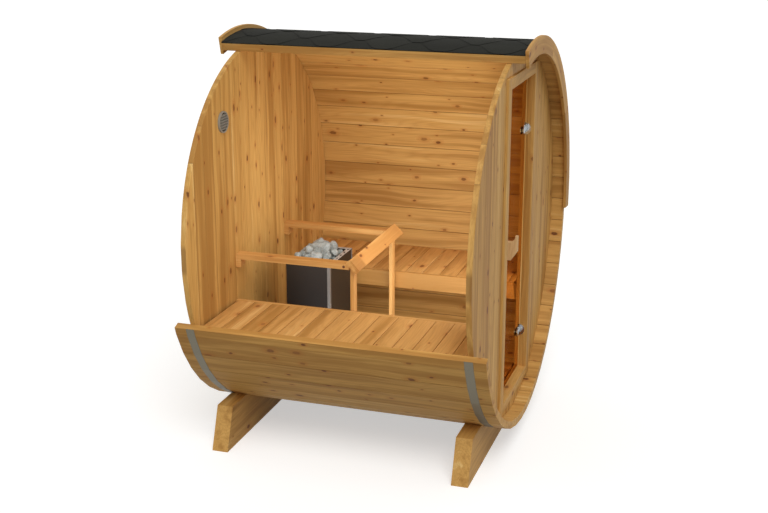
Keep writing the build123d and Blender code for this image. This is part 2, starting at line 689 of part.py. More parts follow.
# Everything by node name
def all_pieces():
    pieces = dict(stave_groups())
    pieces["rear_wall"] = end_wall(-WALL_INNER_X, -WALL_OUTER_X)
    pieces.update(front_wall_pieces())
    pieces["roof_shingles"] = roof_shingles()
    arc_x = STAVE_END_X + END_FIT
    pieces["end_arc_rear"] = end_arc(ARC_NEAR_REAR, -arc_x - ARC_T, -arc_x)
    pieces["end_arc_front"] = end_arc(ARC_NEAR_FRONT, arc_x, arc_x + ARC_T)
    pieces["band_rear"] = band(-BAND_X)
    pieces["band_front"] = band(BAND_X)
    pieces["cradle_rear"] = cradle(CRADLE_REAR_INSET - STAVE_END_X)
    pieces["cradle_front"] = cradle(STAVE_END_X - CRADLE_FRONT_INSET)
    pieces["door_jamb_near"] = jamb(-1, True)
    pieces["door_jamb_far"] = jamb(1, False)
    pieces["door_head"] = frame_bar((DOORWAY_TOP, FRAME_TOP), (DOORWAY_TOP, LINING_TOP))
    pieces["door_sill"] = frame_bar((FRAME_BOTTOM, DOORWAY_BOTTOM), (FRAME_BOTTOM, DOORWAY_BOTTOM))
    pieces["door_glass"] = door_glass()
    pieces["hinge_clamps"] = [hinge_clamp(z) for z in HINGE_HEIGHTS]
    pieces["hinge_plates"] = [hinge_plate(z) for z in HINGE_HEIGHTS]
    pieces["handle_outside"] = handle(GLASS_FRONT_X + END_FIT, 1, HANDLE_DEPTH)
    pieces["handle_inside"] = handle(GLASS_BACK_X - END_FIT, -1, INSIDE_HANDLE_DEPTH)
    for name, side in (("near", -1), ("far", 1)):
        slats, fascia, bearers = bench(side)
        pieces[f"bench_{name}_slats"] = slats
        pieces[f"bench_{name}_fascia"] = fascia
        pieces[f"bench_{name}_bearers"] = bearers
        pieces[f"guard_rail_{name}"] = [guard_rail(side), guard_block(side)]
    pieces["guard_front_board"] = guard_board()
    pieces["guard_posts"] = [guard_post(-1), guard_post(1)]
    pieces["floor_boards"] = floor_boards()
    pieces["floor_bearers"] = floor_bearers()
    pieces["heater_casing"] = heater_casing()
    pieces["heater_rim"] = heater_rim()
    pieces["heater_stones"] = heater_stones()
    pieces["heater_trims"] = corner_trims()
    pieces["wall_vent"] = vent()
    return pieces


os.makedirs("parts", exist_ok=True)
for node, shape in all_pieces().items():
    solids = shape if isinstance(shape, list) else [shape]
    placed = [Pos(0, SHIFT_Y, AXIS_HEIGHT) * solid for solid in solids]
    if len(placed) > 1:
        export_step(Compound(children=placed), f"parts/{node}.step")
    else:
        export_step(placed[0], f"parts/{node}.step")
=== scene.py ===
import math
import random

import bmesh
import bpy
from mathutils import Euler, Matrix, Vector, noise


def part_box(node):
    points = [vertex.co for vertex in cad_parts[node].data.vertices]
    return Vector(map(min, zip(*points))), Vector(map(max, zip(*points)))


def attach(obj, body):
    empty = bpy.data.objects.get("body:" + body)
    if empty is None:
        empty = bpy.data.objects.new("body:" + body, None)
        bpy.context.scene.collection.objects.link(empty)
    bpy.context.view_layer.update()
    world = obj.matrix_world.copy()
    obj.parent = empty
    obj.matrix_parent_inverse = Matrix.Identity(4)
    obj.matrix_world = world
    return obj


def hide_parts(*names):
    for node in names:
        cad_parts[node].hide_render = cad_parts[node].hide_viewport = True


# Barrel sauna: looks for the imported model. Metres, +X towards the door wall, -Y the open side.
# Angles round the barrel are in degrees from the top, positive towards the open near side.

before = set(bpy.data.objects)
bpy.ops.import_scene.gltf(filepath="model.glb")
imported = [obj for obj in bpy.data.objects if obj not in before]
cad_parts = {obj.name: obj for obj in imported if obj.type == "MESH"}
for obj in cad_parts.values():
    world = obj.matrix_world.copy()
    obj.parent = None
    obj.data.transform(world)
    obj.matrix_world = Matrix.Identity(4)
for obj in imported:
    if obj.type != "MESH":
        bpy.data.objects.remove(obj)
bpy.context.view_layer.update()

# Sizes that repeat the solids
BARREL_R = 1.0
STAVE_T = 0.040
STAVES_PER_TURN = 47
STAVE_GAP = 0.0003
BEAD_HALF_W = 0.009
BEAD_RISE = 0.006
ROOF_CUT = 15.5
LOW_JOINT = 113.9
LOW_CUT = 111.2
SIDE_GROUPS = {"staves_roof": 6, "staves_far_upper": 5, "staves_far_side": 5}
LOW_GROUPS = {"staves_near_low": 4, "staves_bottom_near": 5, "staves_bottom_far": 5, "staves_far_low": 4}
WALL_BOARD = 0.112
SHINGLE_END = -94.8
ARC_RISE = 0.028
ARC_W = 0.092
ARC_NEAR_REAR = 15.0
ARC_NEAR_FRONT = 15.6
ARC_END = -94.8
ARC_BOARDS = 3
FRAME_LINING = 0.024
STOP_W = 0.012
STOP_T = 0.010
HANDLE_LIP = 0.013
HANDLE_FOOT_IN = 0.033
HANDLE_FOOT_UP = 0.049
HANDLE_SCOOP_W = 0.026
HANDLE_SCOOP_H = 0.032
GUARD_BOARD_W = 0.075
GUARD_BOARD_T = 0.028
GUARD_TILT = 46.0
DOORWAY_W = 0.56
JAMB_W = 0.070
FRAME_DEPTH = 0.0675
SLAT_PITCH = 0.0995
SLAT_SPACE = 0.003
RIM_W = 0.023

# Eased edges
STAVE_EDGE = 0.0022
STAVE_END_CHAMFER = 0.0015
WALL_CHAMFER = 0.0018
ARC_CHAMFER = 0.0012
BOARD_ROUND = 0.002
STOP_ROUND = 0.001
BENCH_ROUND = 0.003
GUARD_ROUND = 0.003
HANDLE_CHAMFER = 0.0025

# Wood: knots in cells per metre, and how far the grain wanders sideways
KNOT_CELLS = 10.5
KNOT_R = 0.0098
KNOT_STRETCH = 0.55
KNOT_DEPTH_SHARE = 0.9
GRAIN_WANDER = 0.055
PLAIN_SEED = 0.45

# Wall boards: the painted shade in their joints and the narrowest strip kept at an edge
WALL_JOINT_SHADE = 0.6
WALL_JOINT_W = 0.002
WALL_BOARD_STEPS = 5
LEAST_BOARD = 0.02
WALL_TIP_GAP = 0.0015

# End arcs, in degrees: half the gap between boards, the chamfer's length and the step of the bend
ARC_GAP = 0.01
ARC_END_ANGLE = 0.08
ARC_STEP = 2.0

# Shingles: the radius that the tabs lie on, and a tab's rows in shares of its visible height
SHINGLE_R = 1.0036
TAB_PITCH = 0.299
TAB_FLAT = 0.045
TAB_SLANT = 0.104
TAB_ROWS = (0.0, 0.05, 0.34, 0.67, 1.0, 1.5, 2.0)
TAB_SEEN_ROWS = 5
TAB_SIDE_MARGIN = 0.009
TAB_RISE = 0.0036
TAB_RISE_ANGLE = 8.15
# Painted shadow along the tabs' lower edges and the sides of their lower part
TAB_EDGE_SHADE = 0.6
TAB_SINK = 0.001
EAVES_COURSE = 17.25
RIDGE_COURSE = 0.95
RIDGE_LIFT = 0.0006
FIRST_TAB_X = -0.677
SHEET_T = 0.0032
SHEET_BELOW = 0.0006
SHEET_STEPS = 56
SHEET_SEED = 0.4

# Heater stones: each layer has the height of its centres over the rim and the rows it leaves free
STONE_COLUMNS = 4
STONE_ROWS = 5
STONE_LAYERS = ((-0.016, 0), (0.016, 0), (0.040, 1))
STONE_SCATTER = 0.18
STONE_SIZES = (0.026, 0.040)
STONE_WALL_GAP = 0.004
STONE_LEAST_FIT = 0.019
STONE_BULGE = 1.12
STONE_OVERHANG = 1.25
STONE_BED_BELOW = 0.035
STONE_FLATS = 7
STONE_FLAT_AT = 0.74
STONE_KNOBS = 0.30
STONE_KNOB_SCALE = 1.25

# Small round parts
PLATE_CLEAR = 0.0002
PLATE_CHAMFER = 0.0006
VENT_SHADE_DISC_T = 0.001
VENT_SHADE_DISC_INSET = 0.008
PLUG_R = 0.0075
PLUG_T = 0.0010
PLUG_SIDES = 14
PLUG_INSET = 0.030
PLUG_DROP = 0.014
SCOOP_STEPS = 6

# Light: what the floor shows to the camera, and what it gives to the object
WORLD_COLOUR = (1.0, 0.99, 0.95, 1.0)
WORLD_LIGHT = 0.50
FLOOR_REACH = 30.0
FLOOR_SEEN = (0.70, 0.70, 0.70, 1.0)
FLOOR_LIFT = 0.50
FLOOR_BOUNCE = (0.40, 0.40, 0.38, 1.0)
WHITE = (1.0, 1.0, 1.0, 1.0)

# Camera
CAMERA_AT = (2.0325, -6.2742, 2.8909)
CAMERA_AZIMUTH = 18.0652
CAMERA_ELEVATION = 16.7541
CAMERA_LENS = 59.37
CAMERA_SENSOR = 36.0

# Places that follow
SIDE_PITCH = 360.0 / STAVES_PER_TURN
SIDE_END = ROOF_CUT - sum(SIDE_GROUPS.values()) * SIDE_PITCH
LOW_PITCH = (360.0 + SIDE_END - LOW_JOINT) / sum(LOW_GROUPS.values())
AXIS_Y = (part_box("cradle_rear")[0].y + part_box("cradle_rear")[1].y) / 2
AXIS_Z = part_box("end_arc_rear")[1].z - BARREL_R - ARC_RISE
STAVE_LOW_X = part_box("staves_roof")[0].x
STAVE_HIGH_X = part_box("staves_roof")[1].x
WALL_R = (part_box("rear_wall")[1].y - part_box("rear_wall")[0].y) / 2
WALL_INNER_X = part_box("front_wall_near")[0].x

rng = random.Random(11)


# Meshes
def polar(radius, angle, x):
    """A point round the barrel's axis."""
    a = math.radians(angle)
    return Vector((x, AXIS_Y - radius * math.sin(a), AXIS_Z + radius * math.cos(a)))


def inset_outline(points, amount):
    """A closed counter-clockwise outline moved inwards by amount."""
    moved = []
    count = len(points)
    for i in range(count):
        before = Vector(points[i]) - Vector(points[i - 1])
        after = Vector(points[(i + 1) % count]) - Vector(points[i])
        n0 = Vector((-before.y, before.x)).normalized()
        n1 = Vector((-after.y, after.x)).normalized()
        turn = max(1.0 + n0.dot(n1), 0.35)
        moved.append(tuple(Vector(points[i]) + (n0 + n1) * (amount / turn)))
    return moved


def rounded_rectangle(width, height, radius, steps=2):
    """A rectangle about the origin with its corners rounded, counter-clockwise."""
    points = []
    for cx, cy, start in ((1, 1, 0), (-1, 1, 90), (-1, -1, 180), (1, -1, 270)):
        for i in range(steps + 1):
            a = math.radians(start + 90.0 * i / steps)
            x = cx * (width / 2 - radius) + radius * math.cos(a)
            y = cy * (height / 2 - radius) + radius * math.sin(a)
            points.append((x, y))
    return points


class Piece:
    """Boards gathered into one mesh. Each vertex keeps the place in its own board for the grain."""

    def __init__(self):
        self.verts = []
        self.faces = []
        self.grain = []
        self.seeds = []
        self.shade = []

    def vertex(self, point, grain, seed, shade=0.0):
        self.verts.append(tuple(point))
        self.grain.append(tuple(grain))
        self.seeds.append(seed)
        self.shade.append(shade)
        return len(self.verts) - 1

    def sweep(self, outline, stations, place, grain=None, seed=None, shade=None):
        """Rings of the outline at stations (along, inset), joined, and closed at both ends.

        place gives the point for (along, a, b), and grain its place in the board, with the
        fibres along the first value. shade darkens points of the outline in the joints."""
        seed = rng.random() if seed is None else seed
        grain = grain or (lambda s, a, b: (s, a, b))
        shade = shade or [0.0] * len(outline)
        base = len(self.verts)
        count = len(outline)
        for along, inset in stations:
            ring = inset_outline(outline, inset) if inset else outline
            for (a, b), dark in zip(ring, shade):
                self.vertex(place(along, a, b), grain(along, a, b), seed, 0.0 if inset else dark)
        for s in range(len(stations) - 1):
            low = base + s * count
            for i in range(count):
                j = (i + 1) % count
                self.faces.append((low + i, low + j, low + count + j, low + count + i))
        self.faces.append(tuple(range(base + count - 1, base - 1, -1)))
        last = base + (len(stations) - 1) * count
        self.faces.append(tuple(range(last, last + count)))

    def box(self, low, high, along="x", radius=BOARD_ROUND):
        """A board between two corners with rounded edges and its fibres along one axis."""
        order = {"x": (0, 1, 2), "y": (1, 2, 0), "z": (2, 0, 1)}[along]
        size = [high[i] - low[i] for i in order]
        centre = [(high[i] + low[i]) / 2 for i in order]
        outline = rounded_rectangle(size[1], size[2], radius)

        def place(s, a, b):
            point = [0.0, 0.0, 0.0]
            point[order[0]] = centre[0] + s
            point[order[1]] = centre[1] + a
            point[order[2]] = centre[2] + b
            return point

        self.sweep(outline, end_stations(-size[0] / 2, size[0] / 2, radius), place)

    def build(self, name, material, slot, nodes=(), body="cabin", smooth=35.0):
        """The mesh as an object that rides on a body, and replaces nodes where they are given."""
        mesh = bpy.data.meshes.new(name)
        mesh.from_pydata(self.verts, [], self.faces)
        mesh.validate()
        grain = mesh.attributes.new("grain", "FLOAT_VECTOR", "POINT")
        grain.data.foreach_set("vector", [c for g in self.grain for c in g])
        seeds = mesh.attributes.new("seed", "FLOAT", "POINT")
        seeds.data.foreach_set("value", self.seeds)
        # Painted shade for each vertex: along board joints, and along the shingle tabs' edges
        shades = mesh.attributes.new("painted_shade", "FLOAT", "POINT")
        shades.data.foreach_set("value", self.shade)
        mesh.materials.append(material)
        mesh.polygons.foreach_set("use_smooth", [True] * len(mesh.polygons))
        mesh.set_sharp_from_angle(angle=math.radians(smooth))
        obj = bpy.data.objects.new(name, mesh)
        bpy.context.scene.collection.objects.link(obj)
        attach(obj, body)
        if nodes:
            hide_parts(*nodes)


def end_stations(low, high, inset):
    """Stations for a straight sweep with small chamfers at both ends."""
    return [(low, inset), (low + inset, 0.0), (high - inset, 0.0), (high, inset)]


# Materials
def new_material(name):
    """An empty material with its shader."""
    material = bpy.data.materials.new(name)
    material.use_nodes = True
    nodes = material.node_tree.nodes
    nodes.clear()
    shader = nodes.new("ShaderNodeBsdfPrincipled")
    output = nodes.new("ShaderNodeOutputMaterial")
    material.node_tree.links.new(shader.outputs[0], output.inputs[0])
    return material, shader


def srgb(r, g, b):
    """Linear colour from 0 to 255 values."""
    def linear(v):
        v /= 255.0
        return v / 12.92 if v <= 0.04045 else ((v + 0.055) / 1.055) ** 2.4

    return (linear(r), linear(g), linear(b), 1.0)


class Graph:
    """Short calls for building the nodes of a material or a world."""

    def __init__(self, owner):
        self.tree = owner.node_tree

    def node(self, kind, inputs=None, **settings):
        made = self.tree.nodes.new("ShaderNode" + kind)
        for key, value in settings.items():
            setattr(made, key, value)
        for key, value in (inputs or {}).items():
            self.feed(made.inputs[key], value)
        return made

    def feed(self, socket, value):
        if isinstance(value, bpy.types.NodeSocket):
            self.tree.links.new(value, socket)
        else:
            socket.default_value = value

    def math(self, operation, a, b=0.0, c=0.0):
        made = self.tree.nodes.new("ShaderNodeMath")
        made.operation = operation
        self.feed(made.inputs[0], a)
        self.feed(made.inputs[1], b)
        self.feed(made.inputs[2], c)
        return made.outputs[0]

    def vector_math(self, operation, a, b):
        made = self.tree.nodes.new("ShaderNodeVectorMath")
        made.operation = operation
        self.feed(made.inputs[0], a)
        self.feed(made.inputs[1], b)
        return made.outputs[0]

    def noise(self, vector, scale, detail):
        """Noise from 0 to 1. scale is one number, or three for the three axes."""
        if isinstance(scale, tuple):
            vector = self.vector_math("MULTIPLY", vector, scale)
            scale = 1.0
        return self.node("TexNoise", {"Vector": vector, "Scale": scale, "Detail": detail}).outputs[0]

    def object_place(self):
        return self.node("TexCoord").outputs["Object"]

    def attribute(self, name):
        return self.node("Attribute", attribute_name=name).outputs["Fac"]

    def bump(self, height, strength, distance):
        return self.node("Bump", {"Height": height, "Strength": strength, "Distance": distance}).outputs[0]

    def seen_rays(self):
        """1 on rays that show the backdrop to the camera, direct, mirrored or through glass."""
        path = self.node("LightPath")
        seen = self.math("MAXIMUM", path.outputs["Is Camera Ray"], path.outputs["Is Glossy Ray"])
        return self.math("MAXIMUM", seen, path.outputs["Is Transmission Ray"])

    def ramp(self, value, low, high):
        """0 below low and 1 above high, smooth between."""
        made = self.tree.nodes.new("ShaderNodeMapRange")
        made.interpolation_type = "SMOOTHSTEP"
        self.feed(made.inputs["Value"], value)
        made.inputs["From Min"].default_value = low
        made.inputs["From Max"].default_value = high
        return made.outputs["Result"]

    def mix(self, factor, a, b):
        made = self.tree.nodes.new("ShaderNodeMix")
        made.data_type = "RGBA"
        self.feed(made.inputs[0], factor)
        self.feed(made.inputs[6], a)
        self.feed(made.inputs[7], b)
        return made.outputs[2]


def pine(name, base, dark, light, knots=0.6, turned=None):
    """Knotty pine. The fibres run along the first value of the boards' grain attribute.

    On a solid that has no such attribute, turned is the turn that brings them along X."""
    material, shader = new_material(name)
    g = Graph(material)
    if turned is None:
        place = g.node("Attribute", attribute_name="grain").outputs["Vector"]
        seed = g.attribute("seed")
    else:
        place = g.node("Mapping", {"Vector": g.object_place(), "Rotation": turned}).outputs[0]
        seed = PLAIN_SEED
    painted_shade = g.attribute("painted_shade")
    shift = g.node("CombineXYZ", {"X": g.math("MULTIPLY", seed, 37.0), "Y": g.math("MULTIPLY", seed, 91.0)})
    spot = g.vector_math("ADD", place, shift.outputs[0])

    # Knots: dark ovals in some cells of an even scatter
    parts = g.node("SeparateXYZ", {"Vector": spot})
    along = g.math("MULTIPLY", parts.outputs["X"], KNOT_CELLS * KNOT_STRETCH)
    across = g.math("MULTIPLY_ADD", parts.outputs["Z"], KNOT_DEPTH_SHARE, parts.outputs["Y"])
    flat = g.node("CombineXYZ", {"X": along, "Y": g.math("MULTIPLY", across, KNOT_CELLS)}).outputs[0]
    cells = g.node("TexVoronoi", {"Vector": flat, "Scale": 1.0, "Randomness": 0.95}, voronoi_dimensions="2D")
    away = g.math("DIVIDE", cells.outputs["Distance"], KNOT_CELLS)
    draw = g.node("SeparateColor", {"Color": cells.outputs["Color"]})
    has_knot = g.math("LESS_THAN", draw.outputs["Red"], knots)
    size = g.math("MULTIPLY_ADD", g.math("POWER", draw.outputs["Green"], 1.6), KNOT_R * 0.8, KNOT_R * 0.3)
    near = g.math("DIVIDE", away, size)
    wobble = g.noise(spot, (60.0, 60.0, 60.0), 2.0)
    near = g.math("MULTIPLY_ADD", wobble, 1.1, g.math("SUBTRACT", near, 0.55))
    strength = g.math("MULTIPLY", g.math("MULTIPLY_ADD", draw.outputs["Blue"], 0.6, 0.35), has_knot)
    core = g.math("MULTIPLY", g.math("SUBTRACT", 1.0, g.ramp(near, 0.6, 1.35)), strength)
    halo = g.math("MULTIPLY", g.math("SUBTRACT", 1.0, g.ramp(near, 0.8, 3.4)), has_knot)

    # Grain: broad soft streaks, finer ones, and faint rings, all wandering a little across the board
    wander = g.math("SUBTRACT", g.noise(spot, (1.9, 5.0, 5.0), 1.0), 0.5)
    sideways = g.node("CombineXYZ", {"Y": g.math("MULTIPLY", wander, GRAIN_WANDER)}).outputs[0]
    spot = g.vector_math("ADD", spot, sideways)
    broad = g.noise(spot, (0.8, 7.0, 7.0), 1.5)
    bent = g.math("MULTIPLY_ADD", halo, 0.16, broad)
    rings = g.math("SINE", g.math("MULTIPLY", bent, 130.0))
    rings = g.math("POWER", g.math("MULTIPLY_ADD", rings, 0.5, 0.5), 2.0)
    streak = g.noise(spot, (0.9, 24.0, 24.0), 4.0)
    fibre = g.noise(spot, (3.5, 170.0, 170.0), 3.0)

    # Colour: the board's own tone and streaks, then fibres and rings, then knots, then painted shade in the
    # joints
    tone = g.math("MULTIPLY_ADD", seed, 0.36, g.math("MULTIPLY", streak, 1.55))
    tone = g.math("MULTIPLY_ADD", broad, 0.55, tone)
    colour = g.mix(g.ramp(tone, 0.72, 1.02), light, base)
    colour = g.mix(g.math("MULTIPLY", g.ramp(tone, 1.12, 1.55), 0.80), colour, dark)
    line = g.math("MULTIPLY", g.ramp(fibre, 0.42, 0.74), 0.34)
    line = g.math("MULTIPLY_ADD", rings, 0.17, line)
    colour = g.mix(line, colour, dark)
    colour = g.mix(g.math("MULTIPLY", halo, 0.34), colour, srgb(176, 98, 40))
    rim = g.mix(g.ramp(near, 0.3, 0.95), srgb(112, 62, 30), srgb(70, 36, 18))
    colour = g.mix(core, colour, rim)
    # Painted shade along the joints between boards
    colour = g.mix(g.math("MULTIPLY", painted_shade, 0.78), colour, srgb(84, 46, 20))
    g.feed(shader.inputs["Base Color"], colour)
    shader.inputs["Roughness"].default_value = 0.6
    shader.inputs["Specular IOR Level"].default_value = 0.25
    height = g.math("MULTIPLY_ADD", fibre, 0.6, g.math("MULTIPLY", rings, 0.2))
    g.feed(shader.inputs["Normal"], g.bump(height, 0.2, 0.0006))
    return material


def metal(name, colour, roughness, brushed):
    """Bare metal with fine streaks, which are darker by the share brushed."""
    material, shader = new_material(name)
    g = Graph(material)
    shader.inputs["Metallic"].default_value = 1.0
    shader.inputs["Roughness"].default_value = roughness
    streak = g.noise(g.object_place(), (900.0, 60.0, 60.0), 2.0)
    darker = [c * (1.0 - brushed) for c in colour[:3]] + [1.0]
    g.feed(shader.inputs["Base Color"], g.mix(streak, colour, darker))
    return material


def felt(name, base, light):
    """Roofing felt with mineral grains. Each shingle has its own shade."""
    material, shader = new_material(name)
    g = Graph(material)
    place = g.object_place()
    grit = g.noise(place, 900.0, 2.0)
    patch = g.noise(place, 6.0, 3.0)
    own = g.math("MULTIPLY", g.attribute("seed"), 0.35)
    shade = g.math("MULTIPLY_ADD", g.ramp(grit, 0.4, 0.8), 0.5, own)
    shade = g.math("MULTIPLY_ADD", patch, 0.3, shade)
    # Painted shadow along the tabs' edges, darkest on their edge faces
    colour = g.mix(g.attribute("painted_shade"), g.mix(shade, base, light), srgb(10, 11, 10))
    g.feed(shader.inputs["Base Color"], colour)
    shader.inputs["Roughness"].default_value = 1.0
    shader.inputs["Specular IOR Level"].default_value = 0.2
    g.feed(shader.inputs["Normal"], g.bump(grit, 0.5, 0.001))
    return material


def painted(name, colour, dark, roughness, grain_scale):
    """Sheet or cast surface with a faint even texture."""
    material, shader = new_material(name)
    g = Graph(material)
    speckle = g.noise(g.object_place(), grain_scale, 3.0)
    g.feed(shader.inputs["Base Color"], g.mix(speckle, colour, dark))
    shader.inputs["Roughness"].default_value = roughness
    g.feed(shader.inputs["Normal"], g.bump(speckle, 0.12, 0.0004))
    return material


def stone():
    """Pale olivine heater stones."""
    material, shader = new_material("heater_stones")
    g = Graph(material)
    place = g.object_place()
    speckle = g.noise(place, 160.0, 4.0)
    cloud = g.noise(place, 22.0, 4.0)
    pale = g.mix(g.attribute("seed"), srgb(152, 151, 143), srgb(112, 115, 109))
    shade = g.math("MULTIPLY", g.ramp(cloud, 0.42, 0.72), 0.55)
    colour = g.mix(shade, pale, srgb(84, 88, 84))
    spots = g.math("MULTIPLY", g.ramp(speckle, 0.52, 0.7), 0.5)
    colour = g.mix(spots, colour, srgb(186, 187, 180))
    g.feed(shader.inputs["Base Color"], colour)
    shader.inputs["Roughness"].default_value = 0.85
    g.feed(shader.inputs["Normal"], g.bump(cloud, 0.5, 0.004))
    return material


def tinted_glass(name, colour):
    """Bronze safety glass. Shadow rays pass straight through it, tinted."""
    material, shader = new_material(name)
    shader.inputs["Base Color"].default_value = colour
    shader.inputs["Transmission Weight"].default_value = 1.0
    shader.inputs["IOR"].default_value = 1.005
    g = Graph(material)
    smudge = g.noise(g.object_place(), 9.0, 4.0)
    g.feed(shader.inputs["Roughness"], g.math("MULTIPLY", g.ramp(smudge, 0.5, 0.9), 0.05))
    output = next(n for n in g.tree.nodes if n.type == "OUTPUT_MATERIAL")
    clear = g.node("BsdfTransparent", {"Color": colour}).outputs[0]
    shadow = g.node("LightPath").outputs["Is Shadow Ray"]
    both = g.node("MixShader", {0: shadow, 1: shader.outputs[0], 2: clear})
    g.feed(output.inputs[0], both.outputs[0])
    return material


# Base, dark and light tone of each wood
PINE = (srgb(210, 162, 90), srgb(164, 115, 54), srgb(230, 190, 120))
BENCH_PINE = (srgb(204, 153, 88), srgb(164, 115, 54), srgb(222, 178, 114))
GUARD_PINE = (srgb(217, 165, 97), srgb(180, 122, 60), srgb(238, 194, 124))
HANDLE_WOOD = (srgb(226, 190, 138), srgb(190, 140, 88), srgb(236, 206, 160))
TURN_NONE = (0.0, 0.0, 0.0)
TURN_Y_TO_X = (0.0, 0.0, math.radians(-90))
TURN_Z_TO_X = (0.0, math.radians(90), 0.0)

stave_pine = pine("stave_pine", *PINE)
wall_pine = pine("wall_pine", *PINE, knots=0.5)
bench_pine = pine("bench_pine", *BENCH_PINE, knots=0.4)
frame_pine = pine("frame_pine", *PINE, knots=0.3)
guard_pine = pine("guard_pine", *GUARD_PINE, knots=0.4)
handle_wood = pine("handle_wood", *HANDLE_WOOD, knots=0.0)
plug_wood = painted("plug_wood", srgb(120, 66, 34), srgb(90, 48, 24), 0.6, 60.0)
band_steel = metal("band_steel", srgb(118, 113, 99), 0.5, brushed=0.12)
chrome = metal("chrome", srgb(205, 208, 210), 0.2, brushed=0.06)
rim_steel = painted("rim_steel", srgb(176, 164, 152), srgb(160, 148, 136), 0.45, 500.0)
shingle_felt = felt("shingle_felt", srgb(26, 26, 22), srgb(47, 47, 41))
heater_black = painted("heater_black", srgb(38, 32, 27), srgb(29, 25, 21), 0.5, 700.0)
vent_grey = painted("vent_grey", srgb(146, 141, 130), srgb(130, 126, 117), 0.5, 300.0)
# Painted shade for the space behind the vent's louvres
vent_painted_shade = painted("vent_painted_shade", srgb(60, 52, 44), srgb(44, 38, 32), 0.8, 300.0)
bronze_glass = tinted_glass("bronze_glass", srgb(188, 148, 96))
trim_steel = painted("trim_steel", srgb(108, 100, 91), srgb(96, 89, 81), 0.45, 500.0)
stone_grey = stone()


# Staves
def stave_outline(pitch, near_kind, far_kind):
    """Section of a stave at the top of the barrel, as points (a, b) and their joint shades.

    a runs towards -Y and b up from the axis. Points in a joint are shaded."""
    half = math.radians(pitch / 2)
    outer = BARREL_R
    inner = BARREL_R - STAVE_T / math.cos(half)
    middle = (outer + inner) / 2

    def at(side, radius, out=0.0):
        shift = out - STAVE_GAP / 2
        a = side * (math.sin(half) * radius + math.cos(half) * shift)
        return (a, math.cos(half) * radius - math.sin(half) * shift)

    def side_points(side, kind):
        rise = {"bead": BEAD_RISE, "cove": -BEAD_RISE, "plain": 0.0}[kind]
        points = [at(side, outer - STAVE_EDGE)]
        if rise:
            for t in (-1.0, -0.55, 0.0, 0.55, 1.0):
                points.append(at(side, middle - t * BEAD_HALF_W, rise * (1.0 - t * t)))
        points.append(at(side, inner + STAVE_EDGE))
        return points, [0.0 if kind == "plain" else 1.0] * len(points)

    near, near_shade = side_points(1, near_kind)
    far, far_shade = side_points(-1, far_kind)
    b_outer = math.cos(half) * outer
    b_inner = math.cos(half) * inner
    a_outer = math.sin(half) * outer - STAVE_EDGE
    a_inner = math.sin(half) * inner - STAVE_EDGE
    outer_edge = [(a_outer, b_outer), (-a_outer, b_outer)]
    inner_edge = [(-a_inner, b_inner), (a_inner, b_inner)]
    points = outer_edge + far + inner_edge + near[::-1]
    return points, [0.0, 0.0] + far_shade + [0.0, 0.0] + near_shade


def stave_stations():
    """Stations from the rear to the front ends of the staves."""
    return end_stations(STAVE_LOW_X, STAVE_HIGH_X, STAVE_END_CHAMFER)


def add_stave(piece, section, angle):
    """One stave, turned from the top of the barrel to its angle."""
    outline, shade = section

    def place(s, a, b):
        radius = math.hypot(a, b)
        return polar(radius, angle + math.degrees(math.atan2(a, b)), s)

    piece.sweep(outline, stave_stations(), place, shade=shade)


def build_staves(piece, node):
    """A group of staves in place of its node."""
    piece.build(node.replace("staves", "stave_boards"), stave_pine, "stave_pine", (node,))


def staves():
    """The staves, down the far side from the roof, and up the near side to the low cut."""
    side = stave_outline(SIDE_PITCH, "bead", "cove")
    first = stave_outline(SIDE_PITCH, "plain", "cove")
    low = stave_outline(LOW_PITCH, "bead", "cove")
    index = 0
    for node, count in SIDE_GROUPS.items():
        piece = Piece()
        for _ in range(count):
            add_stave(piece, first if index == 0 else side, ROOF_CUT - (index + 0.5) * SIDE_PITCH)
            index += 1
        build_staves(piece, node)
    index = 0
    for node, count in LOW_GROUPS.items():
        piece = Piece()
        if index == 0:
            add_ripped_stave(piece)
        for _ in range(count):
            add_stave(piece, low, LOW_JOINT + (index + 0.5) * LOW_PITCH)
            index += 1
        build_staves(piece, node)


def add_ripped_stave(piece):
    """The narrow strip at the top of the near side, ripped along the low cut.

    Its outline is an angle in radians from the joint, and a radius."""
    width = math.radians(LOW_JOINT - LOW_CUT)
    flat = math.cos(math.radians(LOW_PITCH / 2))
    inner = BARREL_R - STAVE_T
    outline = [
        (0.0, BARREL_R),
        (-width, BARREL_R * flat),
        (-width * inner / BARREL_R, BARREL_R * flat - STAVE_T),
        (0.0, inner),
    ]

    def place(s, a, b):
        return polar(b, LOW_JOINT + math.degrees(a), s)

    piece.sweep(outline, stave_stations(), place)


# End walls
def wall_board_outline(y_low, y_high, z_low=None, z_high=None):
    """A wall board seen along X, as (y, z) from the axis, cut round at the wall's edge.

    Its corners are in the joints, so they come with a shade."""
    first = y_low + WALL_JOINT_W
    width = y_high - y_low - 2 * WALL_JOINT_W
    ys = [y_low]
    ys += [first + width * i / WALL_BOARD_STEPS for i in range(WALL_BOARD_STEPS + 1)]
    ys.append(y_high)
    rise = [math.sqrt(max(WALL_R ** 2 - y ** 2, 1e-6)) for y in ys]
    if z_low is None:
        lower = [(y, -z) for y, z in zip(ys, rise)]
    else:
        lower = [(y, z_low) for y in ys]
    if z_high is None:
        upper = [(y, z) for y, z in zip(ys[::-1], rise[::-1])]
    else:
        upper = [(y, z_high) for y in ys[::-1]]
    shade = [WALL_JOINT_SHADE] + [0.0] * (WALL_BOARD_STEPS + 1) + [WALL_JOINT_SHADE]
    return lower + upper, shade + shade


def add_wall_board(piece, section, x_low, x_high):
    """One upright board through the wall's thickness."""
    outline, shade = section

    def place(s, a, b):
        return (s, AXIS_Y + a, AXIS_Z + b)

    def grain(s, a, b):
        return (b, a, s)

    piece.sweep(outline, end_stations(x_low, x_high, WALL_CHAMFER), place, grain, shade=shade)


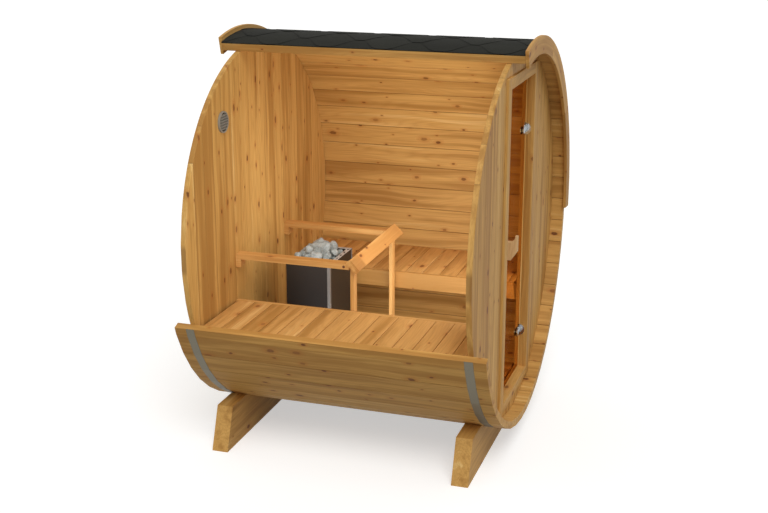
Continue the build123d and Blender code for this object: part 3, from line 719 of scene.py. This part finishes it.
def board_edges(low, high):
    """Joints between wall boards from low to high, with slivers left out."""
    edges = [low]
    y = -WALL_BOARD * 8.5
    while y < high - LEAST_BOARD:
        if y > low + LEAST_BOARD:
            edges.append(y)
        y += WALL_BOARD
    edges.append(high)
    return edges


def wall_part(name, node, low, high, z_low=None, z_high=None):
    """The boards of one wall piece, between two y from the axis."""
    piece = Piece()
    corner_low, corner_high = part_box(node)
    edges = board_edges(low, high)
    for a, b in zip(edges, edges[1:]):
        add_wall_board(piece, wall_board_outline(a, b, z_low, z_high), corner_low.x, corner_high.x)
    piece.build(name, wall_pine, "wall_pine", (node,))


def end_walls():
    """The rear wall, and the front wall's four pieces round the doorway."""
    tip = WALL_R - WALL_TIP_GAP
    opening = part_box("front_wall_near")[1].y - AXIS_Y
    wall_part("rear_wall_boards", "rear_wall", -tip, tip)
    wall_part("front_wall_boards_near", "front_wall_near", -tip, opening)
    wall_part("front_wall_boards_far", "front_wall_far", -opening, tip)
    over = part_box("front_wall_over_door")[0].z - AXIS_Z
    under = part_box("front_wall_under_door")[1].z - AXIS_Z
    wall_part("front_wall_boards_over_door", "front_wall_over_door", opening, -opening, z_low=over)
    wall_part("front_wall_boards_under_door", "front_wall_under_door", opening, -opening, z_high=under)


# End arcs
def end_arc(node, near_angle):
    """The curved boards over the stave ends."""
    piece = Piece()
    corner_low, corner_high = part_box(node)
    middle_x = (corner_low.x + corner_high.x) / 2
    middle_r = BARREL_R + ARC_RISE - ARC_W / 2
    outline = rounded_rectangle(corner_high.x - corner_low.x, ARC_W, BOARD_ROUND, steps=1)
    span = (near_angle - ARC_END) / ARC_BOARDS

    def place(s, a, b):
        return polar(middle_r + b, s, middle_x + a)

    def grain(s, a, b):
        return (math.radians(s) * middle_r, b, a)

    for i in range(ARC_BOARDS):
        high = near_angle - i * span - ARC_GAP
        low = high - span + 2 * ARC_GAP
        count = math.ceil((high - low) / ARC_STEP)
        first = low + ARC_END_ANGLE
        turn = high - low - 2 * ARC_END_ANGLE
        stations = [(low, ARC_CHAMFER)]
        stations += [(first + turn * k / count, 0.0) for k in range(count + 1)]
        stations.append((high, ARC_CHAMFER))
        piece.sweep(outline, stations, place, grain)
    piece.build(node + "_boards", stave_pine, "arc_pine", (node,))


# Benches
def bench(name):
    """The slats of a bench and the board along its front."""
    node = f"bench_{name}_slats"
    low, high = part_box(node)
    piece = Piece()
    x = low.x
    while x < high.x - SLAT_SPACE:
        right = min(x + SLAT_PITCH - SLAT_SPACE, high.x)
        piece.box((x, low.y, low.z), (right, high.y, high.z), along="y", radius=BENCH_ROUND)
        x += SLAT_PITCH
    piece.build(f"bench_{name}_boards", bench_pine, "bench_pine", (node,))
    node = f"bench_{name}_fascia"
    low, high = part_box(node)
    front = Piece()
    front.box(low, high, along="x", radius=BENCH_ROUND)
    front.build(f"bench_{name}_front_board", bench_pine, "bench_pine", (node,))


# Bearers, sill and floor boards that are plain boxes
def box_boards(name, node, along, material, slot):
    """Boards over the separate solids of a node."""
    piece = Piece()
    for low, high in solid_boxes(node):
        piece.box(low, high, along=along)
    piece.build(name, material, slot, (node,))


def solid_boxes(node):
    """Corners of each separate solid of a node."""
    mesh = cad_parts[node].data
    parent = list(range(len(mesh.vertices)))

    def root(i):
        while parent[i] != i:
            parent[i] = parent[parent[i]]
            i = parent[i]
        return i

    same = {}
    for v in mesh.vertices:
        key = tuple(round(c, 5) for c in v.co)
        if key in same:
            parent[root(v.index)] = root(same[key])
        same[key] = v.index
    for edge in mesh.edges:
        a, b = edge.vertices
        parent[root(a)] = root(b)
    groups = {}
    for v in mesh.vertices:
        groups.setdefault(root(v.index), []).append(v.co)
    boxes = []
    for points in groups.values():
        low = Vector([min(p[i] for p in points) for i in range(3)])
        high = Vector([max(p[i] for p in points) for i in range(3)])
        boxes.append((low, high))
    return sorted(boxes, key=lambda pair: tuple(pair[0]))


# Door frame, guard board and handles
def door_frame():
    """Jambs and head: a post or bar in the wall, a thin lining behind it, and the latch stop."""
    doorway_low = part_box("door_sill")[1].z
    doorway_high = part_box("door_head")[0].z
    for name, side in (("near", -1), ("far", 1)):
        node = f"door_jamb_{name}"
        low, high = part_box(node)
        back_x = high.x - FRAME_DEPTH
        inner = AXIS_Y + side * DOORWAY_W / 2
        outer = AXIS_Y + side * (DOORWAY_W / 2 + JAMB_W)
        lining = inner + side * FRAME_LINING
        piece = Piece()
        y_low, y_high = sorted((inner, outer))
        piece.box((WALL_INNER_X, y_low, low.z), (high.x, y_high, high.z), along="z")
        y_low, y_high = sorted((inner, lining))
        lining_top = doorway_high + FRAME_LINING
        piece.box((back_x, y_low, low.z), (WALL_INNER_X, y_high, lining_top), along="z")
        if name == "near":
            stop_low = (back_x, inner, doorway_low)
            stop_high = (back_x + STOP_T, inner + STOP_W, doorway_high)
            piece.box(stop_low, stop_high, along="z", radius=STOP_ROUND)
        piece.build(f"door_jamb_{name}_boards", frame_pine, "frame_pine", (node,))
    low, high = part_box("door_head")
    piece = Piece()
    piece.box((WALL_INNER_X, low.y, low.z), high, along="y")
    piece.box(low, (WALL_INNER_X, high.y, low.z + FRAME_LINING), along="y")
    piece.build("door_head_boards", frame_pine, "frame_pine", ("door_head",))


def guard():
    """The tilted board over the heater's guard posts."""
    low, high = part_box("guard_front_board")
    centre = (low + high) / 2
    tilt = math.radians(GUARD_TILT)
    across = Vector((math.cos(tilt), 0.0, -math.sin(tilt)))
    up = Vector((math.sin(tilt), 0.0, math.cos(tilt)))

    def place(s, a, b):
        return centre + Vector((0.0, s, 0.0)) + across * a + up * b

    piece = Piece()
    outline = rounded_rectangle(GUARD_BOARD_W, GUARD_BOARD_T, GUARD_ROUND)
    half = (high.y - low.y) / 2
    piece.sweep(outline[::-1], end_stations(-half, half, BOARD_ROUND), place)
    piece.build("guard_board_round_edged", guard_pine, "guard_pine", ("guard_front_board",))


def handle(node, outwards):
    """The wooden pull with its finger scoop, edges eased."""
    low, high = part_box(node)
    depth = high.x - low.x
    top = (high.z - low.z) / 2
    middle = (low + high) / 2
    neck = depth - HANDLE_LIP
    shelf = top - HANDLE_SCOOP_H
    shelf_end = neck - HANDLE_SCOOP_W
    outline = [
        (0.0, -top),
        (depth - HANDLE_FOOT_IN, -top),
        (depth, HANDLE_FOOT_UP - top),
        (depth, top),
        (neck, top),
    ]
    for k in range(1, SCOOP_STEPS):
        a = math.radians(90.0 * k / SCOOP_STEPS)
        outline.append((shelf_end + HANDLE_SCOOP_W * math.cos(a), top - HANDLE_SCOOP_H * math.sin(a)))
    outline += [(shelf_end, shelf), (0.0, shelf)]
    face = low.x if outwards else high.x
    sign = 1.0 if outwards else -1.0

    def place(s, a, b):
        return Vector((face + sign * a, middle.y - sign * s, middle.z + b))

    def grain(s, a, b):
        return (b, a, s)

    half = (high.y - low.y) / 2
    piece = Piece()
    piece.sweep(outline, end_stations(-half, half, HANDLE_CHAMFER), place, grain)
    piece.build(node + "_eased", handle_wood, "handle_wood", (node,), body="door")


# Roof shingles
def shingle_tab(piece, angle, x, up, x_low, x_high, lift=0.0):
    """One hexagonal tab: its lower edge at angle, and up +1 or -1 for the way to the ridge."""
    seed = rng.random()
    grid = []
    for row in TAB_ROWS:
        half = TAB_FLAT / 2 + TAB_SLANT * min(row, 1.0)
        radius = SHINGLE_R + TAB_RISE * (1.0 - row / 2.0) + lift
        a = angle - up * TAB_RISE_ANGLE * row
        a = min(max(a, SHINGLE_END), ROOF_CUT)
        line = []
        for offset in (-half, TAB_SIDE_MARGIN - half, half - TAB_SIDE_MARGIN, half):
            px = min(max(x + offset, x_low), x_high)
            # Painted shadow along the tab's lower edge and the sides of its lower part
            edge = abs(offset) == half and row < 1.0
            dark = TAB_EDGE_SHADE if (edge or row == 0.0) else 0.0
            line.append(piece.vertex(polar(radius, a, px), (px, a, radius), seed, dark))
        grid.append(line)
    # The tab's edge faces below its rim carry the full painted shadow
    skirt = []
    shown = grid[:TAB_SEEN_ROWS]
    rim = [line[0] for line in shown[::-1]] + [line[-1] for line in shown]
    for index in rim:
        point = Vector(piece.verts[index])
        axis = Vector((point.x, AXIS_Y, AXIS_Z))
        inward = (axis - point).normalized() * (TAB_RISE + lift + TAB_SINK)
        skirt.append(piece.vertex(point + inward, piece.grain[index], seed, 1.0))
    for r in range(len(grid) - 1):
        for c in range(len(grid[0]) - 1):
            quad = (grid[r][c], grid[r][c + 1], grid[r + 1][c + 1], grid[r + 1][c])
            piece.faces.append(quad if up > 0 else quad[::-1])
    for k in range(len(rim) - 1):
        quad = (skirt[k], skirt[k + 1], rim[k + 1], rim[k])
        piece.faces.append(quad if up > 0 else quad[::-1])


def shingles():
    """A base sheet and courses of hexagonal tabs, laid from both eaves to the ridge."""
    piece = Piece()
    low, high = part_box("roof_shingles")
    x_low, x_high = low.x, high.x
    span = ROOF_CUT - SHINGLE_END
    outline = rounded_rectangle(x_high - x_low, SHEET_T, 0.0005, steps=1)
    middle = (x_low + x_high) / 2
    half = TAB_PITCH / 2
    first = x_low - TAB_PITCH + (FIRST_TAB_X - x_low) % TAB_PITCH

    def place(s, a, b):
        return polar(SHINGLE_R - SHEET_BELOW + b, s, middle + a)

    def course(angle, up, shifted, lift=0.0):
        x = first + (half if shifted else 0.0)
        while x - half < x_high:
            if x + half > x_low:
                shingle_tab(piece, angle, x, up, x_low, x_high, lift)
            x += TAB_PITCH

    stations = [(SHINGLE_END + span * k / SHEET_STEPS, 0.0) for k in range(SHEET_STEPS + 1)]
    piece.sweep(outline, stations, place, seed=SHEET_SEED)
    far = 0
    while SHINGLE_END + far * TAB_RISE_ANGLE < RIDGE_COURSE - TAB_RISE_ANGLE:
        course(SHINGLE_END + far * TAB_RISE_ANGLE, -1, far % 2 == 0)
        far += 1
    course(EAVES_COURSE, 1, True)
    course(EAVES_COURSE - TAB_RISE_ANGLE, 1, False)
    course(RIDGE_COURSE, 1, True, lift=RIDGE_LIFT)
    piece.build("roof_shingle_tabs", shingle_felt, "shingle", ("roof_shingles",), smooth=20.0)


# Heater stones
def add_stone(piece, centre, size):
    """A rounded, slightly knobbly stone."""
    shape = bmesh.new()
    bmesh.ops.create_icosphere(shape, subdivisions=3, radius=1.0)
    seed = rng.random()
    turn = Euler([rng.uniform(0.0, 6.28) for _ in range(3)]).to_matrix()
    base = len(piece.verts)
    flats = [Vector([rng.uniform(-1.0, 1.0) for _ in range(3)]).normalized() for _ in range(STONE_FLATS)]
    apart = Vector((seed * 40.0, 0.0, 0.0))
    for v in shape.verts:
        spot = v.co * (1.0 + STONE_KNOBS * noise.noise(v.co * STONE_KNOB_SCALE + apart))
        for flat in flats:
            spot -= flat * max(spot.dot(flat) - STONE_FLAT_AT, 0.0)
        point = turn @ Vector((spot.x * size[0], spot.y * size[1], spot.z * size[2]))
        piece.vertex(centre + point, v.co, seed)
    for f in shape.faces:
        piece.faces.append(tuple(base + v.index for v in f.verts))
    shape.free()


def stones():
    """Loose stones heaped in the heater's tray."""
    low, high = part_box("heater_stones")
    rim_low, rim_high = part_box("heater_rim")
    inside_low = rim_low + Vector((RIM_W, RIM_W, 0.0))
    inside_high = rim_high - Vector((RIM_W, RIM_W, 0.0))
    piece = Piece()
    piece.box(low, (high.x, high.y, rim_low.z - STONE_BED_BELOW))
    step_x = (inside_high.x - inside_low.x) / STONE_COLUMNS
    step_y = (inside_high.y - inside_low.y) / STONE_ROWS
    for layer, (rise, free) in enumerate(STONE_LAYERS):
        for i in range(free, STONE_COLUMNS - free):
            for j in range(free, STONE_ROWS - free):
                x = inside_low.x + (i + 0.5 + STONE_SCATTER * rng.uniform(-1, 1)) * step_x
                y = inside_low.y + (j + 0.5 + STONE_SCATTER * rng.uniform(-1, 1)) * step_y
                # The middle layer has no stones in its corner towards +X and +Y
                if layer == 1 and i == STONE_COLUMNS - 1 and j > STONE_ROWS - 3:
                    continue
                size = [rng.uniform(*STONE_SIZES) for _ in range(3)]
                fit_x = min(x - inside_low.x, inside_high.x - x) - STONE_WALL_GAP
                fit_y = min(y - inside_low.y, inside_high.y - y) - STONE_WALL_GAP
                largest = max(min(fit_x, fit_y), STONE_LEAST_FIT) / STONE_BULGE
                if rise > 0.0:
                    largest *= STONE_OVERHANG
                size = [min(v, largest) for v in size]
                add_stone(piece, Vector((x, y, rim_high.z + rise)), size)
    piece.build("heater_stone_heap", stone_grey, "heater_stone", ("heater_stones",), smooth=32.0)


# Painted shade disc behind the vent, and screw plugs
def round_plate(piece, centre, radius, thickness, axis, sides=28):
    """A thin disc with an eased rim, centred on its back face, facing along axis."""
    axis = Vector(axis)
    side = axis.orthogonal().normalized()
    other = axis.cross(side)
    turns = [math.tau * k / sides for k in range(sides)]
    outline = [(radius * math.cos(turn), radius * math.sin(turn)) for turn in turns]

    def place(s, a, b):
        return Vector(centre) + axis * s + side * a + other * b

    edge = min(PLATE_CHAMFER, thickness / 3)
    piece.sweep(outline, [(0.0, 0.0), (thickness - edge, 0.0), (thickness, edge)], place)


def small_parts():
    """A dark disc of painted shade behind the vent's louvres, and the wood plugs over the guard's screws."""
    low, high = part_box("wall_vent")
    centre = (low + high) / 2
    shade_disc = Piece()
    shade_disc_r = (high.z - low.z) / 2 - VENT_SHADE_DISC_INSET
    # A dark disc behind the louvres, painted shade for the space there
    round_plate(shade_disc, (low.x + PLATE_CLEAR, centre.y, centre.z), shade_disc_r, VENT_SHADE_DISC_T, (1, 0, 0))
    shade_disc.build("vent_shade_disc", vent_painted_shade, "vent_grey")
    low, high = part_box("guard_rail_near")
    x = high.x - PLUG_INSET
    z = high.z - PLUG_DROP
    near_y = low.y - PLATE_CLEAR
    far_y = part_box("guard_rail_far")[1].y + PLATE_CLEAR
    plugs = Piece()
    for y, out in ((near_y, -1), (far_y, 1)):
        round_plate(plugs, (x, y, z), PLUG_R, PLUG_T, (0, out, 0), sides=PLUG_SIDES)
    plugs.build("guard_screw_plugs", plug_wood, "guard_pine")


# All pieces. The order of these calls is also the order of the random draws
staves()
end_walls()
end_arc("end_arc_rear", ARC_NEAR_REAR)
end_arc("end_arc_front", ARC_NEAR_FRONT)
bench("near")
bench("far")
door_frame()
guard()
handle("handle_outside", True)
handle("handle_inside", False)
shingles()
stones()
small_parts()
box_boards("door_sill_board", "door_sill", "y", frame_pine, "frame_pine")
box_boards("floor_duckboards", "floor_boards", "x", bench_pine, "floor_pine")
box_boards("bench_near_bearer_bars", "bench_near_bearers", "x", bench_pine, "bench_pine")
box_boards("bench_far_bearer_bars", "bench_far_bearers", "x", bench_pine, "bench_pine")


# Finishes of the CAD solids that stay
def dress(node, material):
    """Give a solid its material, without changing its mesh."""
    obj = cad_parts[node]
    if not obj.material_slots:
        obj.data.materials.append(material)
    for s in obj.material_slots:
        s.link = "OBJECT"
        s.material = material


plain_y = pine("plain_pine_y", *PINE, knots=0.3, turned=TURN_Y_TO_X)
guard_x = pine("guard_pine_x", *GUARD_PINE, knots=0.3, turned=TURN_NONE)
guard_z = pine("guard_pine_z", *GUARD_PINE, knots=0.2, turned=TURN_Z_TO_X)
FINISHES = {
    "band_rear": band_steel,
    "band_front": band_steel,
    "cradle_rear": plain_y,
    "cradle_front": plain_y,
    "guard_rail_near": guard_x,
    "guard_rail_far": guard_x,
    "guard_posts": guard_z,
    "floor_bearers": plain_y,
    "door_glass": bronze_glass,
    "hinge_clamps": chrome,
    "hinge_plates": chrome,
    "heater_casing": heater_black,
    "heater_rim": rim_steel,
    "heater_trims": trim_steel,
    "wall_vent": vent_grey,
}
for node, material in FINISHES.items():
    dress(node, material)


# Floor, light and camera
def studio_floor():
    """A floor that shows white and keeps the object's shadow, and bounces less light than it shows."""
    mesh = bpy.data.meshes.new("studio_floor")
    corners = [(x * FLOOR_REACH, y * FLOOR_REACH, 0.0) for x, y in ((-1, -1), (1, -1), (1, 1), (-1, 1))]
    mesh.from_pydata(corners, [], [(0, 1, 2, 3)])
    floor = bpy.data.objects.new("studio_floor", mesh)
    bpy.context.scene.collection.objects.link(floor)
    material, shader = new_material("studio_floor")
    g = Graph(material)
    seen = g.seen_rays()
    g.feed(shader.inputs["Base Color"], g.mix(seen, FLOOR_BOUNCE, FLOOR_SEEN))
    shader.inputs["Emission Color"].default_value = WHITE
    g.feed(shader.inputs["Emission Strength"], g.math("MULTIPLY", seen, FLOOR_LIFT))
    shader.inputs["Roughness"].default_value = 1.0
    shader.inputs["Specular IOR Level"].default_value = 0.0
    mesh.materials.append(material)


def studio_world():
    """Soft light from all round, with a white backdrop for what the camera sees."""
    world = bpy.data.worlds.new("studio")
    bpy.context.scene.world = world
    world.use_nodes = True
    world.node_tree.nodes.clear()
    g = Graph(world)
    light = g.node("Background", {"Color": WORLD_COLOUR, "Strength": WORLD_LIGHT}).outputs[0]
    white = g.node("Background", {"Color": WHITE, "Strength": 1.0}).outputs[0]
    both = g.node("MixShader", {0: g.seen_rays(), 1: light, 2: white})
    g.node("OutputWorld", {0: both.outputs[0]})


def sun(name, azimuth, elevation, strength, spread):
    """A lamp that shines from that azimuth, 0 from -Y and 90 from +X, and elevation."""
    data = bpy.data.lights.new(name, "SUN")
    data.energy = strength
    data.angle = math.radians(spread)
    lamp = bpy.data.objects.new(name, data)
    lamp.rotation_euler = (math.radians(90 - elevation), 0.0, math.radians(azimuth))
    bpy.context.scene.collection.objects.link(lamp)


def fill(name, place, aim, width, height, power, colour):
    """A soft lamp in the room or beside it. Camera, glossy and transmission rays pass it by."""
    data = bpy.data.lights.new(name, "AREA")
    data.shape = "RECTANGLE"
    data.size = width
    data.size_y = height
    data.energy = power
    data.color = colour
    lamp = bpy.data.objects.new(name, data)
    lamp.location = place
    lamp.rotation_euler = (Vector(aim) - Vector(place)).to_track_quat("-Z", "Y").to_euler()
    lamp.visible_camera = False
    lamp.visible_glossy = False
    lamp.visible_transmission = False
    bpy.context.scene.collection.objects.link(lamp)


def studio_camera():
    """The photograph's viewpoint."""
    data = bpy.data.cameras.new("camera")
    data.lens = CAMERA_LENS
    data.sensor_width = CAMERA_SENSOR
    camera = bpy.data.objects.new("camera", data)
    camera.location = CAMERA_AT
    camera.rotation_euler = (math.radians(90 - CAMERA_ELEVATION), 0.0, math.radians(CAMERA_AZIMUTH))
    bpy.context.scene.collection.objects.link(camera)
    bpy.context.scene.camera = camera
    bpy.context.scene.view_settings.view_transform = "Standard"


FAINT = (0.97, 1.0, 1.0)
COOL = (0.92, 1.0, 1.08)
COOLER = (0.90, 1.0, 1.12)
studio_floor()
studio_world()
sun("key", azimuth=26.0, elevation=52.0, strength=1.35, spread=30.0)
fill("room_fill", (0.0, -1.05, 1.45), (0.0, 0.75, 1.0), width=1.3, height=1.2, power=3.0, colour=FAINT)
fill("inner_fill", (0.0, -0.33, 1.05), (-0.02, 0.75, 1.05), width=0.8, height=1.1, power=3.7, colour=COOLER)
fill("rear_fill", (0.60, 0.04, 1.15), (-0.70, 0.04, 1.02), width=0.8, height=1.1, power=7.5, colour=COOL)
fill("low_fill", (0.15, -0.37, 0.44), (0.15, 0.75, 0.44), width=0.9, height=0.3, power=3.2, colour=COOL)
studio_camera()
